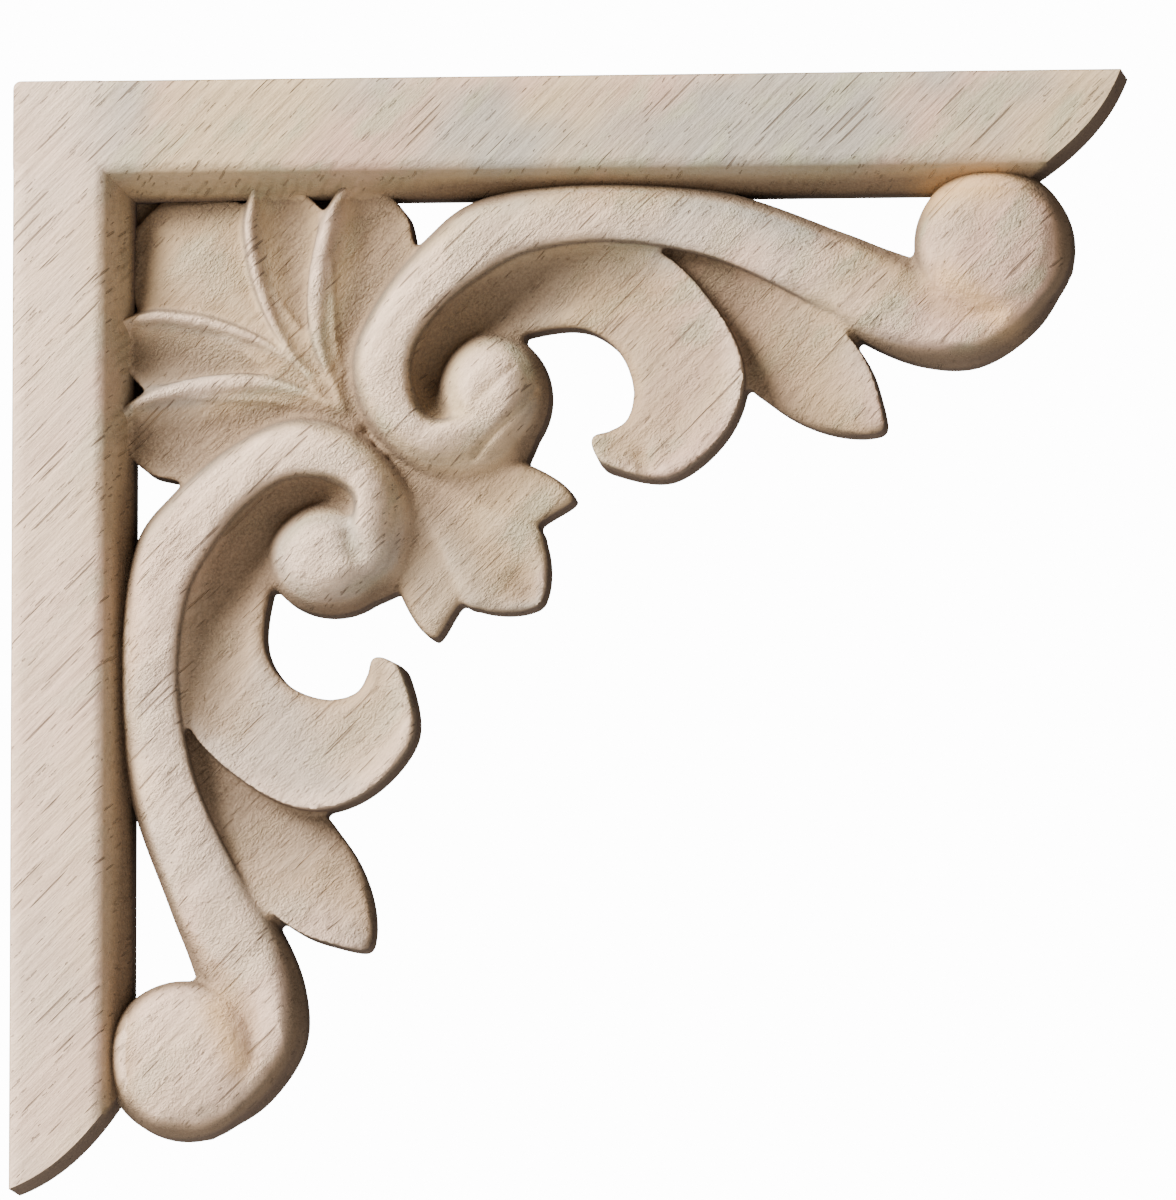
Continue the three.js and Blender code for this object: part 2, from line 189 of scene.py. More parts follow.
MIDDLE_LOBE = {
    "edges": on_both_sides(((3.1, -0.5), (10.5, -0.1), (12.9, 2.4), (15.4, 10.5), (26.2, 22.6))),
    "relief": (
        (0, 0.3, 0.32, 0.34, 0.36, 0.34, 0.32, 0.3),
        (0.35, 0.46, 0.46, 0.48, 0.52, 0.48, 0.46, 0.46),
        (0.7, 0.52, 0.48, 0.47, 0.5, 0.47, 0.48, 0.52),
        (1, 0.54, 0.54, 0.54, 0.56, 0.54, 0.54, 0.54),
    ),
    "steps": 60,
}
SHELL_FLOOR = {
    "edges": on_both_sides(((0, -1.4), (20, -1.4), (26, 1), (24, 12), (24, 20))),
    "relief": level_relief(0.2),
    "steps": 20,
}
BUD = {
    "edges": on_both_sides(
        ((25, 23.2), (30, 28.3), (37.4, 32.4), (42.9, 35), (43.9, 36.9), (44.3, 39.2), (44.2, 41.4),
         (43.7, 43.1))
    ),
    "relief": (
        (0, 0.48, 0.48, 0.48, 0.48, 0.48, 0.48, 0.48),
        (0.14, 0.5, 0.5, 0.5, 0.5, 0.5, 0.5, 0.5),
        (0.4, 0.48, 0.54, 0.52, 0.47, 0.52, 0.54, 0.48),
        (0.74, 0.44, 0.5, 0.46, 0.4, 0.46, 0.5, 0.44),
        (1, 0.4, 0.46, 0.5, 0.5, 0.5, 0.46, 0.4),
    ),
    "steps": 70,
}
BRANCH_FORMS = (SCROLL, HOOKED_LEAF, FROND, NEAR_LOBE, FAR_LOBE, PETAL)
DIAGONAL_FORMS = (MIDDLE_LOBE, SHELL_FLOOR, BUD)
SWAP_ACROSS_AND_DOWN = Matrix(((0, 1, 0, 0), (1, 0, 0, 0), (0, 0, 1, 0), (0, 0, 0, 1)))

# Hollows and ridges of the knife work: from, to, half width and depth, in mm across, down and into
# the wood. A ridge has a depth below zero.
TOOL_MARKS = (
    ((30.5, 41.4), (30.9, 42.9), 0.95, 0.6),
    ((31.2, 38.9), (33, 40.4), 1.1, -0.14),
    ((33, 40.4), (33.3, 42.4), 1.1, -0.14),
    ((33.3, 42.4), (32, 44.2), 1.1, -0.14),
    ((94.9, 17.4), (93.2, 20.4), 1.3, -0.5),
    ((93.2, 20.4), (90, 22.4), 1.3, -0.5),
    ((17.4, 94.9), (20.4, 93.2), 1.3, -0.5),
    ((20.4, 93.2), (22.4, 90), 1.3, -0.5),
    ((56.4, 34.2), (57.8, 37), 0.7, 0.45),
    ((57.8, 33), (59.2, 36.6), 0.6, -0.2),
    ((41.7, 29.2), (45.1, 26.2), 0.26, 0.22),
    ((41.5, 34.1), (47.1, 28.3), 0.3, 0.34),
)
MARK_END = 3 # half widths, past which nothing of a mark is left
MARKS_FROM = 1.3 # mm above the back
UNEVENNESS = 0.1 # mm
UNEVEN_LENGTH = 2.6 # mm

# The band round the rim of a ball that is smoothed into the stem
BLEND_REACH = 2.1 # mm on either side of the rim
BLEND_FROM = 3.4 # mm above the back
BLEND_TOWARDS = (0.3, 1) # across and down from the middle of the ball on the right
BLEND_ROUNDS = 60

# How finely the carving is worked
FORM_COLUMNS = 28
PROFILE_STEPS = 40
DOME_SIDES = 120
ROUNDING_STEPS = 10
CORNER_STEPS = 6
TIP_STEPS = 32
SOFTEN_ROUNDS = 2
SHARP_ANGLE = math.radians(50)
VOXEL = 0.28 # mm
RAIL_SPACING = 1.25 # mm
BELOW_EASE = 0.15 # mm from the ease down to a cut that keeps the shading of the outer sides even
WALL_CUT = 1.1 # mm above the back, below which the walls run straight down
PLATE_MARGIN = 1 # mm that the plate of the outline stands past both faces
CUT_TOLERANCE = 1e-4 # mm
MERGE_DISTANCE = 1e-3 # mm


class AppliqueSizes(bpy.types.PropertyGroup):
    """The driving sizes of the applique, in metres."""

    leg_length: FloatProperty(
        name="Leg length", description="Each rail, from the outer corner to its tip",
        default=HIGH.x - LOW.x, unit="LENGTH",
    )
    thickness: FloatProperty(
        name="Thickness", description="From the flat back to the top of the rails",
        default=HIGH.y - LOW.y, unit="LENGTH",
    )
    rail_width: FloatProperty(
        name="Rail width", description="Each rail, across its back", default=-2 * LOW.x, unit="LENGTH",
    )
    slope_width: FloatProperty(
        name="Slope width", description="The slope along the inner edge of each rail, seen from the front",
        default=2.45 * MM, unit="LENGTH",
    )
    slope_depth: FloatProperty(
        name="Slope depth", description="How far that slope goes down towards the back",
        default=4.4 * MM, unit="LENGTH",
    )
    rail_rounding: FloatProperty(
        name="Rail rounding", description="How far the rounding above the slope reaches each way",
        default=0.8 * MM, unit="LENGTH",
    )
    edge_ease: FloatProperty(
        name="Edge ease", description="Small flat that breaks the outer edge of each rail",
        default=0.3 * MM, unit="LENGTH",
    )
    corner_radius: FloatProperty(
        name="Corner radius", description="Outer corner of the L, seen from the front",
        default=0.8 * MM, unit="LENGTH",
    )
    tip_sweep: FloatProperty(
        name="Tip sweep", description="The curved end of a rail, measured along the rail",
        default=10 * MM, unit="LENGTH",
    )
    tip_gap: FloatProperty(
        name="Tip gap", description="From the far side of the ball to the tip of the rail",
        default=4.7 * MM, unit="LENGTH",
    )


class AppliqueColours(bpy.types.PropertyGroup):
    """The colours of the raw wood, and of the light and shade painted on it."""

    cream: FloatVectorProperty(
        name="Cream", description="The pale wood on most of the faces",
        subtype="COLOR", size=3, min=0, max=1, default=(0.7, 0.52, 0.31),
    )
    pink: FloatVectorProperty(
        name="Pink", description="The warmer bands of the board",
        subtype="COLOR", size=3, min=0, max=1, default=(0.7, 0.46, 0.33),
    )
    grey: FloatVectorProperty(
        name="Grey", description="The cooler bands of the board",
        subtype="COLOR", size=3, min=0, max=1, default=(0.5, 0.45, 0.37),
    )
    # Painted light: a paler colour put on the left rail, lower down and on the ridges
    pale: FloatVectorProperty(
        name="Pale", description="The lighter wood of the left rail",
        subtype="COLOR", size=3, min=0, max=1, default=(0.98, 0.72, 0.54),
    )
    green: FloatVectorProperty(
        name="Green", description="The faint greenish clouds in the board",
        subtype="COLOR", size=3, min=0, max=1, default=(0.52, 0.5, 0.32),
    )
    # Painted shade on the steep sides of the carving
    flank: FloatVectorProperty(
        name="Flanks", description="The steep sides of the carving, greyer than those of the rails",
        subtype="COLOR", size=3, min=0, max=1, default=(0.15, 0.115, 0.085),
    )
    # Painted shade on the parts that are carved lower
    low: FloatVectorProperty(
        name="Low", description="The greyer wood of the parts that are carved lower",
        subtype="COLOR", size=3, min=0, max=1, default=(0.22, 0.165, 0.125),
    )
    # Painted shade on the walls that run straight down
    edge: FloatVectorProperty(
        name="Edge", description="The dark brown of the walls that run straight down",
        subtype="COLOR", size=3, min=0, max=1, default=(0.09, 0.06, 0.045),
    )
    # Painted warm shade where a face turns down into a hollow; the same colour gives the yellow in the
    # creases beside the balls
    warm: FloatVectorProperty(
        name="Warm", description="The yellow brown where a face turns down into a hollow",
        subtype="COLOR", size=3, min=0, max=1, default=(0.75, 0.46, 0.2),
    )
    pore: FloatVectorProperty(
        name="Pores", description="The fine dark lines of the open pores",
        subtype="COLOR", size=3, min=0, max=1, default=(0.13, 0.085, 0.055),
    )
    # Painted shade in the carved hollows and beside the rails
    recess: FloatVectorProperty(
        name="Recesses", description="The brown dust and shade in the carved hollows",
        subtype="COLOR", size=3, min=0, max=1, default=(0.2, 0.135, 0.085),
    )
    # Painted shade on the steep sides of the rails
    wall: FloatVectorProperty(
        name="Walls", description="The sides that the cutter left brown",
        subtype="COLOR", size=3, min=0, max=1, default=(0.3, 0.22, 0.125),
    )


def through(points, place):
    """A point on the smooth curve through the points, from place 0 at the first to 1 at the last."""
    last = len(points) - 1
    start = min(int(place * last), last - 1)
    t = place * last - start
    p1, p2 = Vector(points[start]), Vector(points[start + 1])
    p0 = Vector(points[start - 1]) if start > 0 else 2 * p1 - p2
    p3 = Vector(points[start + 2]) if start + 2 <= last else 2 * p2 - p1
    square = 2 * p0 - 5 * p1 + 4 * p2 - p3
    cube = 3 * (p1 - p2) + p3 - p0
    return p1 + 0.5 * t * (p2 - p0 + t * (square + t * cube))


def smooth_row(rows, place):
    """A smooth curve through rows of (place, value, value, ...), read at one place."""
    last = len(rows) - 1
    i = 0
    while i < last - 1 and place > rows[i + 1][0]:
        i += 1
    before, start, end, after = (rows[min(max(n, 0), last)] for n in (i - 1, i, i + 1, i + 2))
    span = end[0] - start[0]
    x = (place - start[0]) / span
    values = []
    for k in range(1, len(start)):
        slope_in = (end[k] - before[k]) / (end[0] - before[0]) * span
        slope_out = (after[k] - start[k]) / (after[0] - start[0]) * span
        rise = end[k] - start[k]
        square = 3 * rise - 2 * slope_in - slope_out
        cube = slope_in + slope_out - 2 * rise
        values.append(start[k] + x * (slope_in + x * (square + x * cube)))
    return values


class Measures:
    """The driving sizes in millimetres, and what follows from them."""

    def __init__(self, sizes):
        for name in AppliqueSizes.__annotations__:
            setattr(self, name, getattr(sizes, name) / MM)
        self.reach = self.leg_length - self.rail_width - self.tip_gap
        self.unit = self.reach / 100

    def on_ornament(self, spot):
        """A spot in hundredths of the reach, as millimetres from the outer corner of the L."""
        return Vector((self.rail_width + spot[0] * self.unit, self.rail_width + spot[1] * self.unit))

    def upright(self):
        """From across, down and proud of the back, in mm, to the frame of the part, in metres."""
        half = self.rail_width / 2 * MM
        return Matrix(((MM, 0, 0, -half), (0, 0, -MM, 0), (0, -MM, 0, half), (0, 0, 0, 1)))


def carve(form, measures):
    """One carved form: a grid laid over its outline and heights, with walls down to the back."""
    mesh = bmesh.new()
    bmesh.ops.create_grid(mesh, x_segments=form["steps"], y_segments=FORM_COLUMNS, size=0.5)
    outer, inner = ([pair[side] for pair in form["edges"]] for side in (0, 1))
    rows = {}
    for vert in mesh.verts:
        place, share = vert.co.x + 0.5, vert.co.y + 0.5
        if place not in rows:
            ends = [measures.on_ornament(through(edge, place)) for edge in (outer, inner)]
            rows[place] = (*ends, list(zip(COLUMNS, smooth_row(form["relief"], place))))
        start, end, heights = rows[place]
        proud = smooth_row(heights, share)[0] * measures.thickness
        vert.co = (*start.lerp(end, share), proud)
    extruded = bmesh.ops.extrude_face_region(mesh, geom=mesh.faces[:])["geom"]
    for vert in extruded:
        if isinstance(vert, bmesh.types.BMVert):
            vert.co.z = 0
    bmesh.ops.recalc_face_normals(mesh, faces=mesh.faces[:])
    return mesh


def turn_dome(dome, measures):
    """A dome on straight sides: its profile spun round its middle, then stretched and set in place."""
    mesh = bmesh.new()
    width = dome["radius"] * measures.unit
    profile = [through(dome["profile"], n / PROFILE_STEPS) for n in range(PROFILE_STEPS + 1)]
    spots = [(share * width, height * measures.thickness) for share, height in profile]
    spots += [(width, 0), (0, 0)]
    verts = [mesh.verts.new((across, 0, proud)) for across, proud in spots]
    edges = [mesh.edges.new(pair) for pair in zip(verts, verts[1:])]
    bmesh.ops.spin(
        mesh, geom=verts + edges, cent=(0, 0, 0), axis=(0, 0, 1),
        angle=math.tau, steps=DOME_SIDES, use_merge=True,
    )
    bmesh.ops.remove_doubles(mesh, verts=mesh.verts[:], dist=MERGE_DISTANCE)
    bmesh.ops.scale(mesh, vec=(1, dome["stretch"], 1), verts=mesh.verts[:])
    middle = measures.on_ornament(dome["centre"])
    bmesh.ops.translate(mesh, vec=(*middle, 0), verts=mesh.verts[:])
    bmesh.ops.recalc_face_normals(mesh, faces=mesh.faces[:])
    return mesh


def mould_rail(measures):
    """The rail across the top: a bar with a rounded slope inside and a small ease outside."""
    mesh = bmesh.new()
    width, top = measures.rail_width, measures.thickness
    slope = ((width - measures.slope_width, top), (width, top - measures.slope_depth))
    section = ((0, 0), (0, top), *slope, (width, 0))
    end = mesh.faces.new([mesh.verts.new((0, down, proud)) for down, proud in section])
    for corner, offset, segments in (
        (2, measures.rail_rounding, ROUNDING_STEPS),
        (1, measures.edge_ease, 1),
    ):
        bmesh.ops.bevel(
            mesh, geom=[end.verts[corner]], offset=offset, offset_type="OFFSET", affect="VERTICES",
            segments=segments, profile=0.5, material=-1,
        )
        mesh.faces.ensure_lookup_table()
        end = mesh.faces[0]
    swept = bmesh.ops.extrude_face_region(mesh, geom=[end])["geom"]
    verts = [v for v in swept if isinstance(v, bmesh.types.BMVert)]
    bmesh.ops.translate(mesh, vec=(measures.leg_length, 0, 0), verts=verts)
    bmesh.ops.recalc_face_normals(mesh, faces=mesh.faces[:])
    return mesh


def mirrored(mesh):
    """A copy of a form, mirrored across the diagonal of the L."""
    other = mesh.copy()
    bmesh.ops.transform(other, matrix=SWAP_ACROSS_AND_DOWN, verts=other.verts[:])
    bmesh.ops.reverse_faces(other, faces=other.faces[:])
    return other


# Each tip bends round a control point that stands back from the end by the first of these shares of
# the sweep, and in from the outer edge by the second of these shares of the rail's width.
TIP_FULLNESS = (0.22, 0.57)


def bend(start, control, end, steps):
    """Points on a quadratic curve, after its start and up to its end."""
    start, control, end = (Vector(point) for point in (start, control, end))
    for n in range(1, steps + 1):
        t = n / steps
        yield start.lerp(control, t).lerp(control.lerp(end, t), t)


def outline_plate(measures):
    """The outline of the L with its curved tips, as a plate that stands past both faces."""
    size, width = measures.leg_length, measures.rail_width
    tip = (size - TIP_FULLNESS[0] * measures.tip_sweep, TIP_FULLNESS[1] * width)
    turn = size - measures.tip_sweep
    points = [Vector((measures.corner_radius, 0)), Vector((size, 0))]
    points += bend((size, 0), tip, (turn, width), TIP_STEPS)
    points.append(Vector((width, width)))
    points.append(Vector((width, turn)))
    points += bend((width, turn), tip[::-1], (0, size), TIP_STEPS)
    points.append(Vector((0, measures.corner_radius)))
    points += bend((0, measures.corner_radius), (0, 0), (measures.corner_radius, 0), CORNER_STEPS)
    points.pop()
    mesh = bmesh.new()
    face = mesh.faces.new([mesh.verts.new((*point, -PLATE_MARGIN)) for point in points])
    raised = bmesh.ops.extrude_face_region(mesh, geom=[face])["geom"]
    top = [v for v in raised if isinstance(v, bmesh.types.BMVert)]
    bmesh.ops.translate(mesh, vec=(0, 0, measures.thickness + 2 * PLATE_MARGIN), verts=top)
    bmesh.ops.recalc_face_normals(mesh, faces=mesh.faces[:])
    return mesh


def as_object(name, meshes):
    """An object that holds the given forms together."""
    data = bpy.data.meshes.new(name)
    whole = bmesh.new()
    for mesh in meshes:
        part = bpy.data.meshes.new(name + "_form")
        mesh.to_mesh(part)
        mesh.free()
        whole.from_mesh(part)
        bpy.data.meshes.remove(part)
    whole.to_mesh(data)
    whole.free()
    made = bpy.data.objects.new(name, data)
    bpy.context.scene.collection.objects.link(made)
    return made


def with_modifier(made, kind, **settings):
    """Applies one modifier to an object's mesh."""
    modifier = made.modifiers.new(kind.title(), kind)
    for name, value in settings.items():
        setattr(modifier, name, value)
    shown = made.evaluated_get(bpy.context.evaluated_depsgraph_get())
    data = bpy.data.meshes.new_from_object(shown)
    made.modifiers.clear()
    old, made.data = made.data, data
    bpy.data.meshes.remove(old)
    return made


def combine(first, second, operation):
    """Joins or cuts two closed objects, and keeps the first."""
    with_modifier(first, "BOOLEAN", object=second, operation=operation, solver="MANIFOLD")
    bpy.data.objects.remove(second)
    return first


def close_flat(mesh, cut):
    """Takes off everything below the cut, and runs the walls straight down to a flat back."""
    bmesh.ops.bisect_plane(
        mesh, geom=mesh.verts[:] + mesh.edges[:] + mesh.faces[:], dist=CUT_TOLERANCE,
        plane_co=(0, 0, cut), plane_no=(0, 0, 1), clear_inner=True,
    )
    rim = [edge for edge in mesh.edges if edge.is_boundary]
    walls = bmesh.ops.extrude_edge_only(mesh, edges=rim)["geom"]
    for vert in walls:
        if isinstance(vert, bmesh.types.BMVert):
            vert.co.z = 0
    foot = [edge for edge in walls if isinstance(edge, bmesh.types.BMEdge) and edge.is_boundary]
    back = bmesh.ops.triangle_fill(mesh, edges=foot, normal=(0, 0, -1), use_beauty=True)["geom"]
    for face in back:
        if isinstance(face, bmesh.types.BMFace):
            face.smooth = False


def divide(data, measures):
    """Cuts the rails at even distances both ways, so that marks can vary over them, and below the ease."""
    mesh = bmesh.new()
    mesh.from_mesh(data)
    places = range(1, int(measures.leg_length / RAIL_SPACING))
    cuts = [(axis, n * RAIL_SPACING) for axis in ((1, 0, 0), (0, 1, 0)) for n in places]
    cuts.append(((0, 0, 1), measures.thickness - measures.edge_ease - BELOW_EASE))
    for normal, distance in cuts:
        bmesh.ops.bisect_plane(
            mesh, geom=mesh.verts[:] + mesh.edges[:] + mesh.faces[:], dist=CUT_TOLERANCE,
            plane_co=Vector(normal) * distance, plane_no=normal,
        )
    mesh.to_mesh(data)
    mesh.free()


def blend_ball(data, measures):
    """Lets the ball flow into the stem that carries it, on the side away from the tip of the rail."""
    mesh = bmesh.new()
    mesh.from_mesh(data)
    middle = measures.on_ornament(BALL["centre"])
    width = BALL["radius"] * measures.unit
    towards = Vector(BLEND_TOWARDS)
    for centre, inward in ((middle, towards), (middle.yx, towards.yx)):
        near = []
        for vert in mesh.verts:
            away = vert.co.xy - centre
            in_band = vert.co.z > BLEND_FROM and abs(away.length - width) < BLEND_REACH
            if in_band and away.dot(inward) > 0:
                near.append(vert)
        for _ in range(BLEND_ROUNDS):
            bmesh.ops.smooth_vert(
                mesh, verts=near, factor=0.5, use_axis_x=False, use_axis_y=False, use_axis_z=True
            )
    mesh.to_mesh(data)
    mesh.free()


def tool_marks(data, measures):
    """Presses the small hollows and ridges of the knife work into the face, and makes it uneven."""
    mesh = bmesh.new()
    mesh.from_mesh(data)
    for vert in mesh.verts:
        above = min(max((vert.co.z - MARKS_FROM) / MARKS_FROM, 0), 1)
        if not above:
            continue
        spot = vert.co.xy
        pressed = UNEVENNESS * noise.noise(vert.co / UNEVEN_LENGTH)
        for start, end, width, depth in TOOL_MARKS:
            along = Vector(end) - Vector(start)
            share = min(max((spot - Vector(start)).dot(along) / along.length_squared, 0), 1)
            away = (spot - Vector(start) - share * along).length / width
            if away < MARK_END:
                pressed += depth * math.exp(-away * away)
        vert.co.z = min(vert.co.z - above * pressed, measures.thickness)
    mesh.to_mesh(data)
    mesh.free()


def soften(data):
    """Rounds the edges of the carving a little."""
    mesh = bmesh.new()
    mesh.from_mesh(data)
    for _ in range(SOFTEN_ROUNDS):
        bmesh.ops.smooth_vert(
            mesh, verts=mesh.verts[:], factor=0.5, use_axis_x=True, use_axis_y=True, use_axis_z=True
        )
    mesh.to_mesh(data)
    mesh.free()


def build_carving(measures):
    """Carves the whole applique, as one mesh in the frame of the part."""
    branch = [carve(form, measures) for form in BRANCH_FORMS]
    branch += [turn_dome(dome, measures) for dome in (EYE, BALL)]
    branch += [mirrored(mesh) for mesh in branch]
    branch += [carve(form, measures) for form in DIAGONAL_FORMS]
    ornament = as_object("ornament", branch)
    with_modifier(ornament, "REMESH", mode="VOXEL", voxel_size=VOXEL, use_smooth_shade=True)
    soften(ornament.data)
    blend_ball(ornament.data, measures)
    tool_marks(ornament.data, measures)

    rail = mould_rail(measures)
    upper = as_object("upper_rail", [rail.copy()])
    left = as_object("left_rail", [mirrored(rail)])
    rail.free()
    plate = as_object("plate", [outline_plate(measures)])
    rails = combine(combine(upper, left, "UNION"), plate, "INTERSECT")
    divide(rails.data, measures)
    whole = combine(ornament, rails, "UNION")
    mesh = bmesh.new()
    mesh.from_mesh(whole.data)
    close_flat(mesh, WALL_CUT)
    bmesh.ops.transform(mesh, matrix=measures.upright(), verts=mesh.verts[:])
    bmesh.ops.recalc_face_normals(mesh, faces=mesh.faces[:])
    mesh.to_mesh(whole.data)
    mesh.free()
    whole.name = whole.data.name = "carved_wood"
    return whole


class NodeBench:
    """Adds nodes to one material's tree."""

    def __init__(self, material):
        material.use_nodes = True
        self.tree = material.node_tree
        self.tree.nodes.clear()

    def add(self, kind, inputs=None, **settings):
        """A new node, with each input linked to a socket or set to a value."""
        node = self.tree.nodes.new(kind)
        for name, value in settings.items():
            setattr(node, name, value)
        for name, value in (inputs or {}).items():
            if isinstance(value, bpy.types.NodeSocket):
                self.tree.links.new(value, node.inputs[name])
            else:
                node.inputs[name].default_value = value
        return node

    def maths(self, operation, *values):
        return self.add("ShaderNodeMath", dict(enumerate(values)), operation=operation).outputs[0]

    def times(self, first, *others):
        """All the values multiplied together."""
        for value in others:
            first = self.maths("MULTIPLY", first, value)
        return first

    def without(self, value):
        """1 less the value."""
        return self.maths("SUBTRACT", 1, value)

    def mix(self, share, first, second):
        """The first colour, with a share of the second."""
        inputs = {"Factor": share, 6: first, 7: second}
        return self.add("ShaderNodeMix", inputs, data_type="RGBA").outputs[2]

    def ramp(self, value, low, high):
        """Runs from 0 at the low value to 1 at the high value, smoothly."""
        inputs = {"Value": value, "From Min": low, "From Max": high}
        node = self.add("ShaderNodeMapRange", inputs, interpolation_type="SMOOTHSTEP")
        return node.outputs[0]

    def straight(self, value, low, high):
        """Runs from 0 at the low value to 1 at the high value, evenly."""
        inputs = {"Value": value, "From Min": low, "From Max": high}
        return self.add("ShaderNodeMapRange", inputs).outputs[0]

    def between(self, value, first, second):
        """Runs from the first to the second as the value runs from 0 to 1."""
        inputs = {"Value": value, "To Min": first, "To Max": second}
        return self.add("ShaderNodeMapRange", inputs).outputs[0]

    def noise(self, place, scale, detail=2, roughness=0.5):
        inputs = {"Vector": place, "Scale": scale, "Detail": detail, "Roughness": roughness}
        return self.add("ShaderNodeTexNoise", inputs).outputs["Fac"]

    def stretch(self, place, scale):
        return self.add("ShaderNodeMapping", {"Vector": place, "Scale": scale}).outputs[0]


def colour(value):
    return (*value, 1)


GRAIN_SLOPE = math.radians(45)

# How often the patterns of the board change in a mm, along the grain and across it
BANDS = (0.02, 0.09)
PATCHES = (0.05, 0.07)
CLOUDS = (0.14, 0.3)
FIBRES = (0.12, 1.5)
FUZZ = (2.8, 4.4)
GRIT = 4 # changes in a mm, all ways

# Dashes along the grain: how many in a mm along, beside and across it, and then the low and the high
# of the broad noise that thickens them, and how thick they get
LONG_PORES = ((0.09, 0.4, 2.6), (0.4, 0.64, 0.28))
SHORT_PORES = ((0.34, 0.7, 3.4), (0.4, 0.66, 0.28))
PITS = ((0.9, 1.5, 2.4), (0.5, 0.8, 0.34))
DASH_CORNERS = 5 # how square the ends of the dashes are
DASH_BLUR = 0.1

# The ticks that the cutter left along the foot of the rails
TICKS = 4.6 # radians in a mm along the rail
TICK_DRIFT = 30 # radians that the bands of the board move them

# How strongly each colour shows
# Painted light on the left rail, lower down and on the ridges
RAIL_PAINTED_LIGHT = 0.75
LOWER_PAINTED_LIGHT = 0.6
RIDGE_PAINTED_LIGHT = 0.7
# How much less painted shade the steep sides of ridges take
RIDGE_SHADE_CUT = 0.7
GREEN_SHARE = 0.6
FIBRE_SHARE = 0.25
SMALL_PORE_SHARE = 0.75
PORE_SHARE = 0.72
SPECKLE_SHARE = 0.14
TICK_SHARE = 0.5
# Painted shade on the lower carving
LOW_SHARE = 0.3
# Painted warm shade in the hollows
WARM_SHARE = 0.25
CREASE_YELLOW_SHARE = 0.6

# The fine relief, in mm
FUZZ_HEIGHT = 0.28
FIBRE_HEIGHT = 0.2
PORE_DEPTH = 0.14
SMOOTH_FUZZ = 0.25 # the share of the fuzz on the sanded rails


